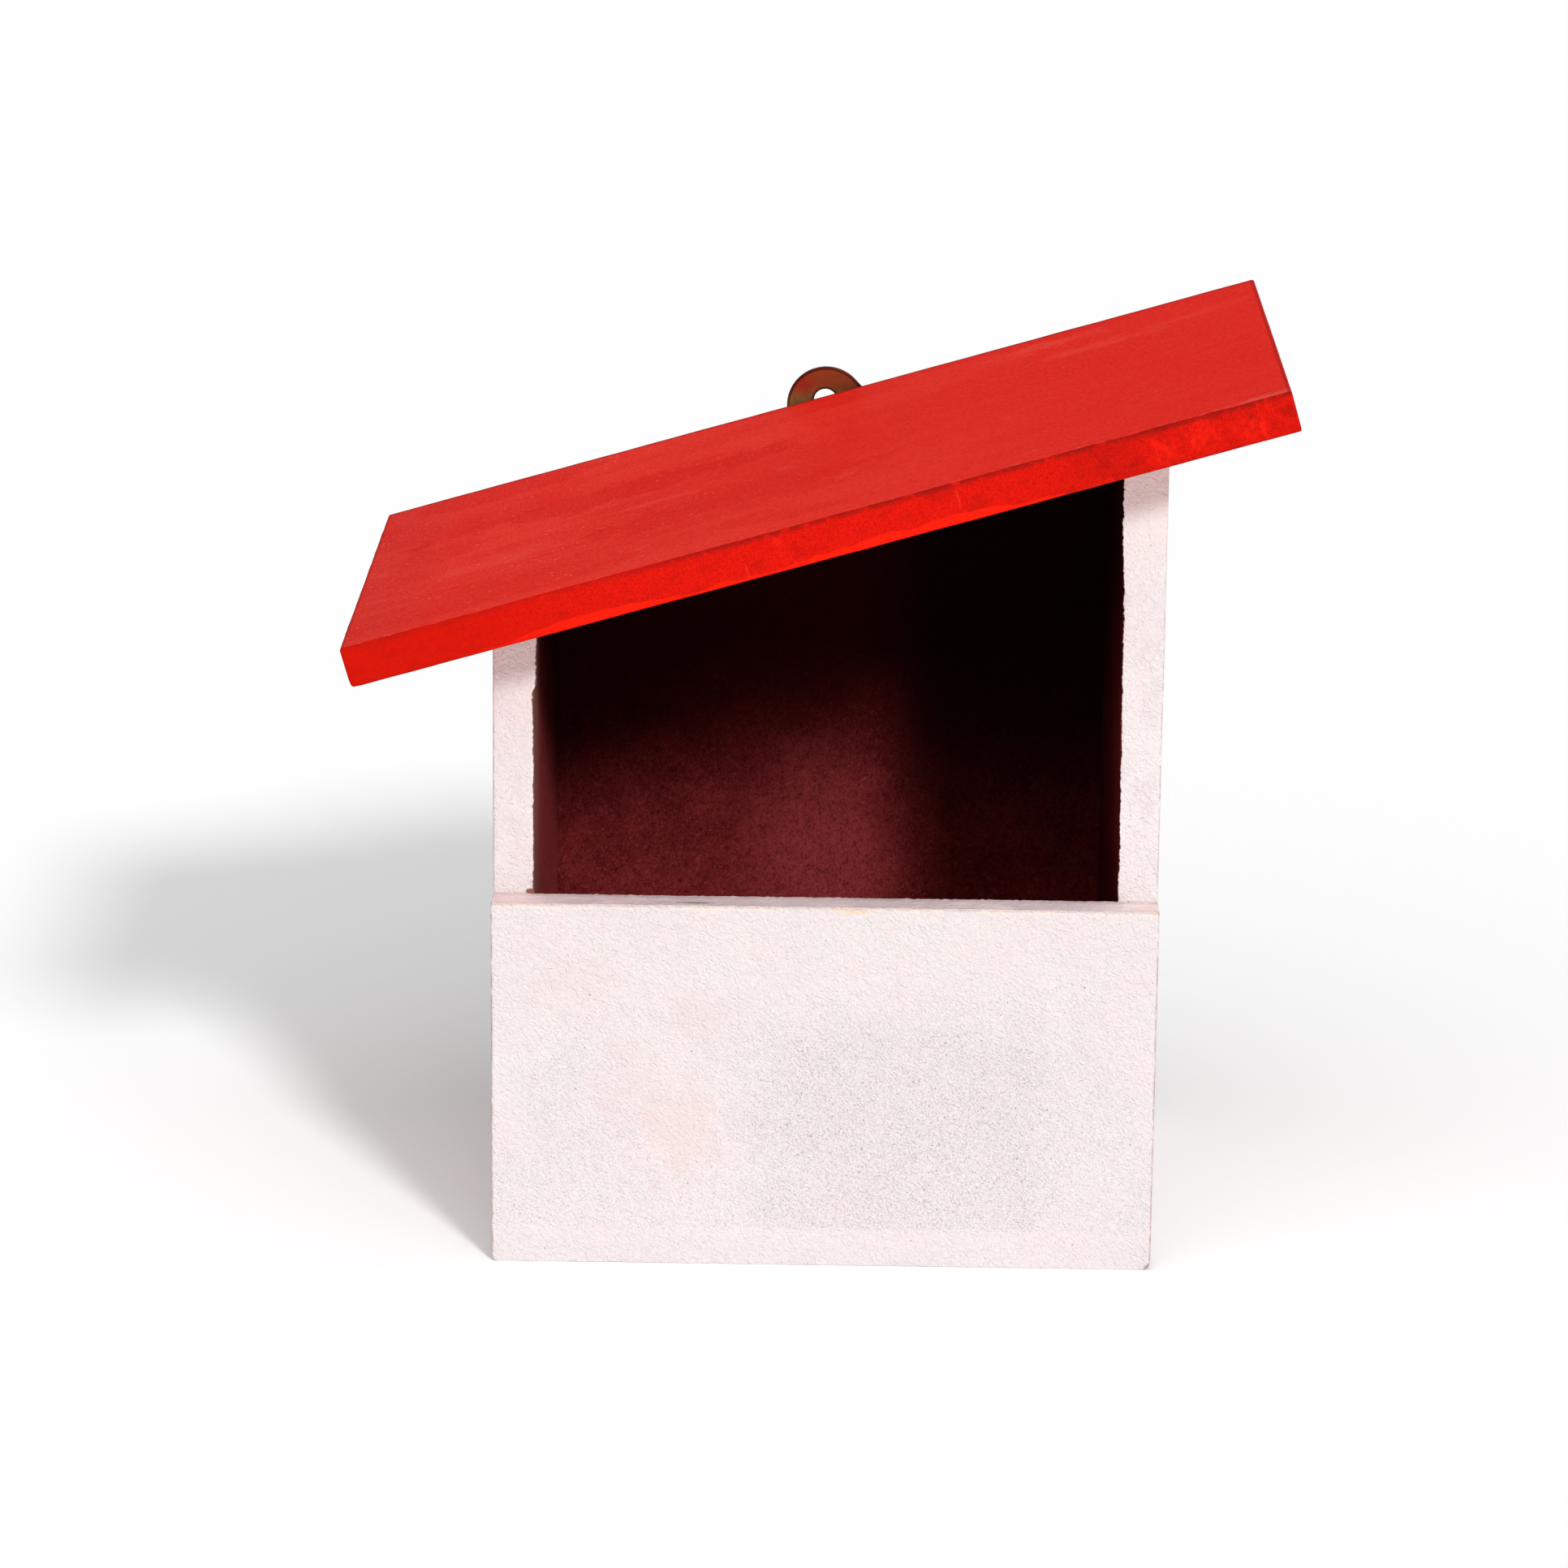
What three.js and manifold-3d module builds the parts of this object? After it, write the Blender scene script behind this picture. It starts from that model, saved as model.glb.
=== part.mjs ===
// An open-fronted wooden nest box for a garden wall, in millimetres, +Z up.
//
// Six painted boards make it: a front panel with the entrance above it, two side panels cut to
// the slope of the roof, a back panel, a floor between the four walls, and one mono-pitch roof
// board that falls to the left. Panel pins hold the boards, with their heads set just under the
// surface, and a round-ended metal strap with a hanging hole is screwed to the back.
//
// Frame: the origin is the middle of the underside. +X is to the right as seen from the front,
// and +Y runs from the front panel to the wall that the box hangs on.

import * as THREE from 'three';
import { mergeVertices } from 'three/addons/utils/BufferGeometryUtils.js';
import Module from 'manifold-3d';

const wasm = await Module();
wasm.setup();

// Boards.
const BOARD = 12; // thickness of every board
const BODY_WIDTH = 195; // outside, left to right
const BODY_DEPTH = 154; // outside, front panel to back panel
const FRONT_HEIGHT = 110; // top of the front panel, the lower lip of the entrance
const LOW_SIDE_HEIGHT = 192; // underside of the roof at the left wall's outer face
const DRAIN_CORNER = 8; // leg of the corner clipped off the floor, so that water runs out

// Roof.
const ROOF_SLOPE = THREE.MathUtils.degToRad(16.25);
const ROOF_LENGTH = 279; // along the slope
const ROOF_LOW_OVERHANG = 39.5; // along the slope, beyond the left wall
const ROOF_DEPTH = 176; // front edge to back edge
const ROOF_SETBACK = 4; // from the back panel's outer face to the roof's back edge

// Hanging strap.
const STRAP_THICKNESS = 1.5;
const STRAP_RADIUS = 12; // of both round ends, so the strap is twice as wide
const STRAP_X = -2.4; // its centre line, a little left of the middle
const STRAP_TOP = 240.5;
const STRAP_LENGTH = 60;
const STRAP_ROUNDNESS = 16; // fineness of its round outlines
const HANGING_HOLE_RADIUS = 3.5;
const HANGING_HOLE_BELOW_TOP = 10.6;
const SCREW_HEIGHTS = { lower: 192.5, upper: 209 };

// Fasteners.
const GAP = 0.3; // clearance round every fastener, and between the roof and the walls
const SINK = 1; // depth of a pin's head under the surface
const PIN = { length: 30, radius: 0.7, head: 1, headHeight: 0.8, tip: 2, sides: 8 };
const SCREW = {
  length: 12, root: 1, crest: 1.5, head: 2.8, rim: 0.2, cone: 1.7, pitch: 1.2, tip: 2.4, sides: 12,
};
const SCREW_SINK = 0.1; // depth of a screw's head under the strap's rear face
const HOLE_ABOVE = 1; // how far a screw's hole goes on above its head
const CROSS = { length: 3, width: 0.7, depth: 0.9 }; // the drive recess in a screw's head

// Places that follow from these. The front is at -Y.
const HALF_WIDTH = BODY_WIDTH / 2;
const FRONT = -BODY_DEPTH / 2;
const BACK = BODY_DEPTH / 2;
const WALL_MIDDLE = HALF_WIDTH - BOARD / 2; // centre of a side panel's thickness, from the middle

const material = (color, roughness, metalness = 0) =>
  new THREE.MeshStandardMaterial({ color, roughness, metalness });
const MATERIALS = {
  white: material(0xf3eaea, 0.65),
  maroon: material(0x6a3436, 0.75),
  red: material(0xd62b22, 0.5),
  brass: material(0x86583a, 0.4, 0.9),
  steel: material(0xb5b3ad, 0.35, 1),
};

// ---------------------------------------------------------------- solids

// A closed geometry as a solid to cut, in the frame that the matrix maps it to.
function solidFrom(geometry, matrix = new THREE.Matrix4()) {
  const bare = geometry.clone().applyMatrix4(matrix);
  bare.deleteAttribute('normal');
  bare.deleteAttribute('uv');
  const merged = mergeVertices(bare);
  return new wasm.Manifold(new wasm.Mesh({
    numProp: 3,
    vertProperties: merged.attributes.position.array,
    triVerts: new Uint32Array(merged.index.array),
  }));
}

function geometryFrom(solid) {
  const mesh = solid.getMesh();
  const geometry = new THREE.BufferGeometry();
  geometry.setAttribute('position', new THREE.BufferAttribute(mesh.vertProperties, mesh.numProp));
  geometry.setIndex(new THREE.BufferAttribute(mesh.triVerts, 1));
  geometry.computeVertexNormals();
  return geometry;
}

// A flat outline in X and Z, given a thickness along Y from one place to another.
function slabAlongY(shape, from, to, curveSegments = 1) {
  const depth = to - from;
  const geometry = new THREE.ExtrudeGeometry(shape, { depth, bevelEnabled: false, curveSegments });
  return geometry.rotateX(Math.PI / 2).translate(0, to, 0);
}

const outline = (points) => new THREE.Shape(points.map(([x, y]) => new THREE.Vector2(x, y)));

function addMesh(parent, name, geometry, finish) {
  const mesh = new THREE.Mesh(geometry, finish);
  mesh.name = name;
  parent.add(mesh);
  return mesh;
}

// Cuts the clearance hole of each fastener out of a board or the strap.
function drill(target, fasteners) {
  target.updateWorldMatrix(true, false);
  const toTarget = target.matrixWorld.clone().invert();
  let solid = solidFrom(target.geometry);
  for (const fastener of fasteners) {
    fastener.updateWorldMatrix(true, false);
    const place = toTarget.clone().multiply(fastener.matrixWorld);
    solid = solid.subtract(solidFrom(fastener.userData.hole, place));
  }
  target.geometry = geometryFrom(solid);
}

// ---------------------------------------------------------------- boards

const roofUnderside = (x) => LOW_SIDE_HEIGHT + (x + HALF_WIDTH) * Math.tan(ROOF_SLOPE);
const wallTop = (x) => roofUnderside(x) - GAP / Math.cos(ROOF_SLOPE);

// An upright board between two places in X, with its top cut to the slope of the roof.
function slopedBoard(left, right, from, to) {
  const shape = outline([[left, 0], [right, 0], [right, wallTop(right)], [left, wallTop(left)]]);
  return slabAlongY(shape, from, to);
}

function frontPanel() {
  return new THREE.BoxGeometry(BODY_WIDTH, BOARD, FRONT_HEIGHT)
    .translate(0, FRONT + BOARD / 2, FRONT_HEIGHT / 2);
}

// The floor fills the space between the walls, apart from its clipped corners.
function floorPanel() {
  const x = HALF_WIDTH - BOARD;
  const y = BACK - BOARD;
  const clip = DRAIN_CORNER;
  const shape = outline([
    [x - clip, -y], [x, -y + clip], [x, y - clip], [x - clip, y],
    [-x + clip, y], [-x, y - clip], [-x, -y + clip], [-x + clip, -y],
  ]);
  return new THREE.ExtrudeGeometry(shape, { depth: BOARD, bevelEnabled: false });
}

// The roof's own frame starts on its underside over the left wall's outer face, with X up the slope.
function roofFrame() {
  const frame = new THREE.Group();
  frame.position.set(-HALF_WIDTH, 0, LOW_SIDE_HEIGHT);
  frame.rotation.y = -ROOF_SLOPE;
  return frame;
}

function roofPanel() {
  const back = BACK - ROOF_SETBACK;
  return new THREE.BoxGeometry(ROOF_LENGTH, ROOF_DEPTH, BOARD)
    .translate(ROOF_LENGTH / 2 - ROOF_LOW_OVERHANG, back - ROOF_DEPTH / 2, BOARD / 2);
}

// ---------------------------------------------------------------- hanging strap

function hangingStrap() {
  const r = STRAP_RADIUS;
  const upper = STRAP_TOP - r;
  const lower = STRAP_TOP - STRAP_LENGTH + r;
  const shape = new THREE.Shape();
  shape.absarc(STRAP_X, upper, r, 0, Math.PI, false);
  shape.absarc(STRAP_X, lower, r, Math.PI, 2 * Math.PI, false);
  shape.closePath();
  const hole = new THREE.Path();
  hole.absarc(STRAP_X, STRAP_TOP - HANGING_HOLE_BELOW_TOP, HANGING_HOLE_RADIUS, 0, 2 * Math.PI, true);
  shape.holes.push(hole);
  return slabAlongY(shape, BACK, BACK + STRAP_THICKNESS, STRAP_ROUNDNESS);
}

// ---------------------------------------------------------------- fasteners

// Every fastener points along -Y, with its tip at the low end and its head's top at y = 0.
const turned = (profile, sides) =>
  new THREE.LatheGeometry(profile.map(([r, y]) => new THREE.Vector2(r, y)), sides);

function pinShape() {
  const { length, radius, head, headHeight, tip, sides } = PIN;
  return turned([
    [0, -length], [radius, -length + tip], [radius, -headHeight], [head, -headHeight], [head, 0], [0, 0],
  ], sides);
}

// The hole a pin is driven into, open to the surface above its sunk head.
function pinHole() {
  const { length, radius, head, headHeight, tip, sides } = PIN;
  return turned([
    [0, -length - GAP], [radius + GAP, -length + tip - GAP], [radius + GAP, -headHeight - GAP],
    [head + GAP, -headHeight - GAP], [head + GAP, 2 * SINK], [0, 2 * SINK],
  ], sides);
}

// A countersunk wood screw, with its thread as rings and a cross recess in its head.
function screwShape() {
  const { length, root, crest, head, rim, cone, pitch, tip, sides } = SCREW;
  const profile = [[0, -length]];
  const turns = Math.floor((length - cone - tip) / pitch);
  for (let i = 0; i < turns; i++) {
    const y = -length + tip + i * pitch;
    profile.push([root, y], [crest, y + pitch / 2]);
  }
  profile.push([root, -length + tip + turns * pitch], [root, -cone], [head, -rim], [head, 0], [0, 0]);
  let solid = solidFrom(turned(profile, sides));
  for (const [x, z] of [[CROSS.length, CROSS.width], [CROSS.width, CROSS.length]]) {
    const slot = new THREE.BoxGeometry(x, 2 * CROSS.depth, z);
    solid = solid.subtract(solidFrom(slot));
  }
  return geometryFrom(solid);
}

function screwHole() {
  const { length, crest, head, rim, cone, sides } = SCREW;
  const r = crest + GAP;
  return turned([
    [0, -length - GAP], [r, -length - GAP], [r, -cone - GAP], [head + GAP, -rim],
    [head + GAP, HOLE_ABOVE], [0, HOLE_ABOVE],
  ], sides);
}

const SHAPES = {
  pin: { shape: pinShape(), hole: pinHole(), finish: MATERIALS.steel },
  screw: { shape: screwShape(), hole: screwHole(), finish: MATERIALS.brass },
};

// A fastener whose head's top is at a place, driven in a direction.
function addFastener(parent, name, kind, place, inward) {
  const { shape, hole, finish } = SHAPES[kind];
  const mesh = addMesh(parent, name, shape, finish);
  mesh.userData.hole = hole;
  mesh.position.copy(place);
  mesh.quaternion.setFromUnitVectors(new THREE.Vector3(0, -1, 0), inward);
  return mesh;
}

const LEFTWARD = new THREE.Vector3(-1, 0, 0);
const RIGHTWARD = new THREE.Vector3(1, 0, 0);
const BACKWARD = new THREE.Vector3(0, 1, 0);
const FORWARD = new THREE.Vector3(0, -1, 0);
const DOWNWARD = new THREE.Vector3(0, 0, -1);
const at = (x, y, z) => new THREE.Vector3(x, y, z);

// ---------------------------------------------------------------- assembly

const nestBox = new THREE.Group();
const roof = roofFrame();
nestBox.add(roof);

const inner = HALF_WIDTH - BOARD;
const boards = {
  front: addMesh(nestBox, 'front_panel', frontPanel(), MATERIALS.white),
  left: addMesh(nestBox, 'left_side_panel',
    slopedBoard(-HALF_WIDTH, -inner, FRONT + BOARD, BACK - BOARD), MATERIALS.white),
  right: addMesh(nestBox, 'right_side_panel',
    slopedBoard(inner, HALF_WIDTH, FRONT + BOARD, BACK - BOARD), MATERIALS.white),
  back: addMesh(nestBox, 'back_panel',
    slopedBoard(-HALF_WIDTH, HALF_WIDTH, BACK - BOARD, BACK), MATERIALS.white),
  floor: addMesh(nestBox, 'floor_panel', floorPanel(), MATERIALS.maroon),
  roof: addMesh(roof, 'roof_panel', roofPanel(), MATERIALS.red),
};

const sides = [
  { side: 'left', sign: -1, inward: RIGHTWARD, backPins: [24, 92, 160] },
  { side: 'right', sign: 1, inward: LEFTWARD, backPins: [24, 112, 204] },
];
const FRONT_PINS = [24, 57, 90]; // heights up the front panel
const FLOOR_PINS = [-32, 32]; // along each wall, from its middle
const ROOF_PINS = [-50, -5, 40]; // along Y
const ROOF_PIN_SHIFT = 2.5; // puts a pin square to the roof in the middle of an upright wall

for (const { side, sign, inward, backPins } of sides) {
  const wall = sign * WALL_MIDDLE;

  const front = FRONT_PINS.map((z, i) => addFastener(
    nestBox, `front_pin_${side}_${i + 1}`, 'pin', at(wall, FRONT + SINK, z), BACKWARD));
  drill(boards.front, front);

  const back = backPins.map((z, i) => addFastener(
    nestBox, `back_pin_${side}_${i + 1}`, 'pin', at(wall, BACK - SINK, z), FORWARD));
  drill(boards.back, back);

  const floor = FLOOR_PINS.map((y, i) => addFastener(
    nestBox, `floor_pin_${side}_${i + 1}`, 'pin', at(sign * (HALF_WIDTH - SINK), y, BOARD / 2), inward));
  drill(boards.floor, floor);

  const upSlope = (wall - ROOF_PIN_SHIFT + HALF_WIDTH) / Math.cos(ROOF_SLOPE);
  const top = ROOF_PINS.map((y, i) => addFastener(
    roof, `roof_pin_${side}_${i + 1}`, 'pin', at(upSlope, y, BOARD - SINK), DOWNWARD));
  drill(boards.roof, top);

  drill(boards[side], [...front, ...back, ...floor, ...top]);
}

const floorEnds = [
  { board: 'front', y: FRONT + SINK, inward: BACKWARD },
  { board: 'back', y: BACK - SINK, inward: FORWARD },
];
for (const { board, y, inward } of floorEnds) {
  const pins = FLOOR_PINS.map((x, i) => addFastener(
    nestBox, `floor_pin_${board}_${i + 1}`, 'pin', at(x, y, BOARD / 2), inward));
  drill(boards[board], pins);
  drill(boards.floor, pins);
}

const strap = addMesh(nestBox, 'hanging_strap', hangingStrap(), MATERIALS.brass);
const screws = Object.entries(SCREW_HEIGHTS).map(([name, z]) => addFastener(
  nestBox, `strap_screw_${name}`, 'screw', at(STRAP_X, BACK + STRAP_THICKNESS - SCREW_SINK, z), FORWARD));
drill(strap, screws);
drill(boards.back, screws);

export default nestBox;
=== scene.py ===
"""The looks of an open-fronted wooden nest box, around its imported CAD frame.

Every board is a fine mesh with worn arrises, built between its CAD node's corners. The strap is a
bevelled plate and its screws are turned bodies. The pins keep their CAD solids. All finishes are
node materials, with places in millimetres.
"""

import math

import bmesh
import bpy
from mathutils import Matrix, Vector, noise


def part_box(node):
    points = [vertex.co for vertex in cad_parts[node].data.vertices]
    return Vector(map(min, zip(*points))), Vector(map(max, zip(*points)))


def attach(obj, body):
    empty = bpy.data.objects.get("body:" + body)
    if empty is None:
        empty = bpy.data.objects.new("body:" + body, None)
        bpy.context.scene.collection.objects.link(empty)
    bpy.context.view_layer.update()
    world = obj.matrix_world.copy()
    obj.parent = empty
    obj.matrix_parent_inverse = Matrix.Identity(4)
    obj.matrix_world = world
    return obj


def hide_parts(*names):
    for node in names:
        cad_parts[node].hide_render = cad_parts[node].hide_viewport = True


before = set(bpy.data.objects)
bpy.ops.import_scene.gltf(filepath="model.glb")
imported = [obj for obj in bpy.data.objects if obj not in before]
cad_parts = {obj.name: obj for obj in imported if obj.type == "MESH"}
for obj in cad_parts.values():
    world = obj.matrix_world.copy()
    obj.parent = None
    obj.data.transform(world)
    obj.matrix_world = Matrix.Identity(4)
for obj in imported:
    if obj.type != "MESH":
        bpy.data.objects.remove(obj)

MM = 0.001
WELD = 1e-6  # metres: vertices nearer than this are one
CORNER_CUT = 8.0  # the floor board's cut-off corners, along each side
ROOF_SLOPE = math.radians(16.25)

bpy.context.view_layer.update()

# The camera, in metres and degrees, and the two lights: azimuth, elevation, spread, strength.
CAMERA_PLACE = (0.00894, -1.74341, 0.59723)
CAMERA_PITCH, CAMERA_YAW, CAMERA_ROLL = 15.099, 0.73, 0.58
CAMERA_LENS = 136.74
CAMERA_SENSOR = 36
CAMERA_REACH = 100
KEY_SUN = (24.6, 31.4, 8.5, 2.05)
FILL_SUN = (-8, 62, 75, 1.95)
SUN_AWAY = 3  # metres
STUDIO_HALF_WIDTH = 30.0  # metres
# The studio's brightness is the sum of two falls: from and to height of view, from and to value.
STUDIO_FALLS = ((0.07, 0.3, 0.85, 0.12), (0.0, 0.09, 0.15, 0.0))


# ------------------------------------------------------------------ places from the frame

def corners_mm(node):
    low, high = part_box(node)
    return low / MM, high / MM


FRONT_LOW, FRONT_HIGH = corners_mm("front_panel")
BACK_LOW, BACK_HIGH = corners_mm("back_panel")
LEFT_LOW, LEFT_HIGH = corners_mm("left_side_panel")
RIGHT_LOW, RIGHT_HIGH = corners_mm("right_side_panel")
FLOOR_LOW, FLOOR_HIGH = corners_mm("floor_panel")
ROOF_LOW, ROOF_HIGH = corners_mm("roof_panel")
STRAP_LOW, STRAP_HIGH = corners_mm("hanging_strap")

BOARD = FRONT_HIGH.y - FRONT_LOW.y
HALF_WIDTH = FRONT_HIGH.x
INSIDE_WIDTH = RIGHT_LOW.x  # from the middle to a side wall's inner face
TAN_SLOPE = math.tan(ROOF_SLOPE)
ROOF_LEAN = BOARD * math.sin(ROOF_SLOPE)  # how far the roof's low end leans out at its top
ROOF_RUN = (ROOF_HIGH.x - ROOF_LOW.x - ROOF_LEAN) / math.cos(ROOF_SLOPE)
ROOF_CORNER = Vector((ROOF_LOW.x + ROOF_LEAN, 0, ROOF_LOW.z))  # low end, underside

EYE = Vector((-2.3, STRAP_HIGH.y, 228.15))  # middle of the strap's rounded top
EYE_RADIUS = 12.25
HOLE = Vector((-2.6, STRAP_HIGH.y, 229.9))
HOLE_RADIUS = 3.55
SHOULDER = ((12.3, 0.0), (12.1, 3.5), (11.2, 6.0))  # its right side, from the middle of the eye


def screw_place(node):
    """The middle of a screw's head, on the strap's rear face."""
    low, high = corners_mm(node)
    return Vector(((low.x + high.x) / 2, high.y, (low.z + high.z) / 2))


SCREWS = {node: screw_place(node) for node in ("strap_screw_upper", "strap_screw_lower")}
SCREW_HEAD = ((0.0, 0.12), (2.8, -0.15), (1.0, -1.7))  # radius and height: top, rim, under the cone
SCREW_LENGTH = 12.0
THREAD = (1.0, 1.5, 1.2)  # root radius, crest radius, pitch
CROSS = (3.0, 0.7, 0.9)  # the drive recess: length, width, depth


def wall_top(x):
    """Height of the sloped top of the upright boards, from the tall wall's outer top corner."""
    return BACK_HIGH.z - (HALF_WIDTH - x) * TAN_SLOPE


# ------------------------------------------------------------------ board meshes

ARC_SHARES = (0.0, 0.423, 0.732)  # even steps of angle round a quarter of an arris
UNEVEN_ARRIS = 0.45  # how far an arris's radius wanders, as a share of it
UNEVEN_FACE = 0.05  # millimetres by which a face swells and sinks
NICK_START = 0.28  # noise above this dents an arris
LEDGE = 172.0  # height on the left board's inner front arris where the white paint steps in


def stations(low, high, step, radius):
    """Places along an edge: close together on the two rounded ends, even between them."""
    ends = [radius * share for share in ARC_SHARES]
    count = max(1, round((high - low - 2 * radius) / step))
    middle = [low + radius + (high - low - 2 * radius) * i / count for i in range(count + 1)]
    return [low + e for e in ends] + middle + [high - e for e in reversed(ends)]


def skin_of_grid(xs, ys, zs):
    """Vertices and quads of the surface of a box cut into a grid, with its faces outwards."""
    last = (len(xs) - 1, len(ys) - 1, len(zs) - 1)
    index = {}
    points = []
    quads = []

    def vertex(key):
        if key not in index:
            index[key] = len(points)
            points.append(Vector((xs[key[0]], ys[key[1]], zs[key[2]])))
        return index[key]

    for axis in range(3):
        u, v = (axis + 1) % 3, (axis + 2) % 3
        for side in (0, last[axis]):
            for i in range(last[u]):
                for j in range(last[v]):
                    corners = []
                    for a, b in ((i, j), (i + 1, j), (i + 1, j + 1), (i, j + 1)):
                        key = [0, 0, 0]
                        key[axis], key[u], key[v] = side, a, b
                        corners.append(vertex(tuple(key)))
                    quads.append(corners if side else corners[::-1])
    return points, quads


def worn(point, low, high, radius, seed, nicks):
    """A point of a box, moved onto its rounded and slightly uneven surface."""
    soft = radius * (1 + UNEVEN_ARRIS * noise.noise(point * 0.09 + seed))
    core = Vector([min(max(p, a + soft), b - soft) for p, a, b in zip(point, low, high)])
    out = (point - core).normalized()
    on_arris = 1 - max(abs(c) for c in out)  # 0 on a flat face, up to 0.29 on an edge
    height = soft + UNEVEN_FACE * noise.noise(point * 0.035 + seed)
    if on_arris > 0.02:
        dent = max(0.0, noise.noise(point * 0.22 + seed * 1.7) - NICK_START)
        height -= nicks * dent * min(1.0, on_arris * 5)
    return core + out * height


def round_corner(point, x, z, side, radius):
    """Rounds a lower corner, on the left for side -1, round a centre at x and z."""
    away = Vector((point.x - x, point.z - z))
    if away.length > radius and away.x * side > 0 and away.y < 0:
        away = away.normalized() * radius
        point.x, point.z = x + away.x, z + away.y
    return point


def board(name, low, high, step=(2.5, 2.5, 2.5), radius=0.7, seed=0.0, nicks=0.5, shape=None):
    """A board between two corners in millimetres. shape moves each finished point."""
    offset = Vector((seed, -seed, seed * 0.5))
    grids = [stations(a, b, s, radius) for a, b, s in zip(low, high, step)]
    points, quads = skin_of_grid(*grids)
    final = []
    for p in points:
        q = worn(p, low, high, radius, offset, nicks)
        final.append((shape(q) if shape else q) * MM)
    mesh = bpy.data.meshes.new(name)
    mesh.from_pydata(final, [], quads)
    mesh.polygons.foreach_set("use_smooth", [True] * len(quads))
    mesh.update()
    obj = bpy.data.objects.new(name, mesh)
    bpy.context.scene.collection.objects.link(obj)
    return obj


def finish_piece(obj, node, material):
    obj.data.materials.append(material)
    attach(obj, "root")
    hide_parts(node)
    return obj


# ------------------------------------------------------------------ materials

class Shader:
    """A node material with short calls for what the finishes need. Places are in millimetres."""

    def __init__(self, name):
        self.material = bpy.data.materials.new(name)
        self.material.use_nodes = True
        self.tree = self.material.node_tree
        self.bsdf = self.tree.nodes["Principled BSDF"]
        coordinates = self.tree.nodes.new("ShaderNodeTexCoord")
        scale = self.tree.nodes.new("ShaderNodeVectorMath")
        scale.operation = "SCALE"
        scale.inputs["Scale"].default_value = 1 / MM
        self.tree.links.new(coordinates.outputs["Object"], scale.inputs[0])
        self.place = scale.outputs[0]

    def _set(self, socket, value):
        if isinstance(value, bpy.types.NodeSocket):
            self.tree.links.new(value, socket)
        elif isinstance(value, tuple) and len(value) == 3 and len(socket.default_value) == 4:
            socket.default_value = (*value, 1)
        else:
            socket.default_value = value

    def math(self, operation, a, b=0.0, clamp=False):
        node = self.tree.nodes.new("ShaderNodeMath")
        node.operation = operation
        node.use_clamp = clamp
        self._set(node.inputs[0], a)
        self._set(node.inputs[1], b)
        return node.outputs[0]

    def times(self, a, b):
        return self.math("MULTIPLY", a, b)

    def plus(self, a, b):
        return self.math("ADD", a, b)

    def ramp(self, value, low, high):
        """0 where value is at low or under, 1 at high or over. low may be the larger one."""
        node = self.tree.nodes.new("ShaderNodeMapRange")
        node.interpolation_type = "SMOOTHSTEP"
        self._set(node.inputs["Value"], value)
        self._set(node.inputs["From Min"], low)
        self._set(node.inputs["From Max"], high)
        return node.outputs["Result"]

    def mapped(self, turn=(0, 0, 0), stretch=(1, 1, 1), shift=(0, 0, 0)):
        """The place turned, then squeezed: a larger stretch makes a pattern finer on that axis."""
        turned = self.tree.nodes.new("ShaderNodeVectorRotate")
        turned.rotation_type = "EULER_XYZ"
        self._set(turned.inputs["Vector"], self.place)
        turned.inputs["Rotation"].default_value = [math.radians(t) for t in turn]
        node = self.tree.nodes.new("ShaderNodeMapping")
        self._set(node.inputs["Vector"], turned.outputs[0])
        node.inputs["Location"].default_value = shift
        node.inputs["Scale"].default_value = stretch
        return node.outputs[0]

    def noise(self, size, detail=3.0, rough=0.5, place=None, warp=0.0):
        """Fractal noise around 0.5, whose lumps are about size millimetres across."""
        node = self.tree.nodes.new("ShaderNodeTexNoise")
        self._set(node.inputs["Vector"], place or self.place)
        node.inputs["Scale"].default_value = 1 / size
        node.inputs["Detail"].default_value = detail
        node.inputs["Roughness"].default_value = rough
        node.inputs["Distortion"].default_value = warp
        return node.outputs["Fac"]

    def wander(self, reach, size, detail=3.0, rough=0.5):
        """Noise around 0, which strays to either side by some part of reach."""
        return self.times(self.math("SUBTRACT", self.noise(size, detail, rough), 0.5), reach)

    def cells(self, size):
        """The distance to the nearest of many scattered points, in cells of about this size."""
        node = self.tree.nodes.new("ShaderNodeTexVoronoi")
        self._set(node.inputs["Vector"], self.place)
        node.inputs["Scale"].default_value = 1 / size
        return node.outputs["Distance"]

    def axis(self, letter, place=None):
        node = self.tree.nodes.new("ShaderNodeSeparateXYZ")
        self._set(node.inputs[0], place or self.place)
        return node.outputs[letter]

    def facing(self, letter):
        """The surface's direction along one axis of the object, from -1 to 1."""
        coordinates = self.tree.nodes.new("ShaderNodeTexCoord")
        return self.axis(letter, coordinates.outputs["Normal"])

    def distance(self, centre):
        node = self.tree.nodes.new("ShaderNodeVectorMath")
        node.operation = "DISTANCE"
        self._set(node.inputs[0], self.place)
        node.inputs[1].default_value = centre
        return node.outputs["Value"]

    def mix(self, amount, a, b):
        node = self.tree.nodes.new("ShaderNodeMix")
        node.data_type = "RGBA"
        self._set(node.inputs["Factor"], amount)
        self._set(node.inputs[6], a)
        self._set(node.inputs[7], b)
        return node.outputs[2]

    def tint(self, color, paint, mask, amount):
        """The colour with paint over it where mask is 1. An amount of 1 covers it there."""
        return self.mix(self.times(mask, amount), color, paint)

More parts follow.
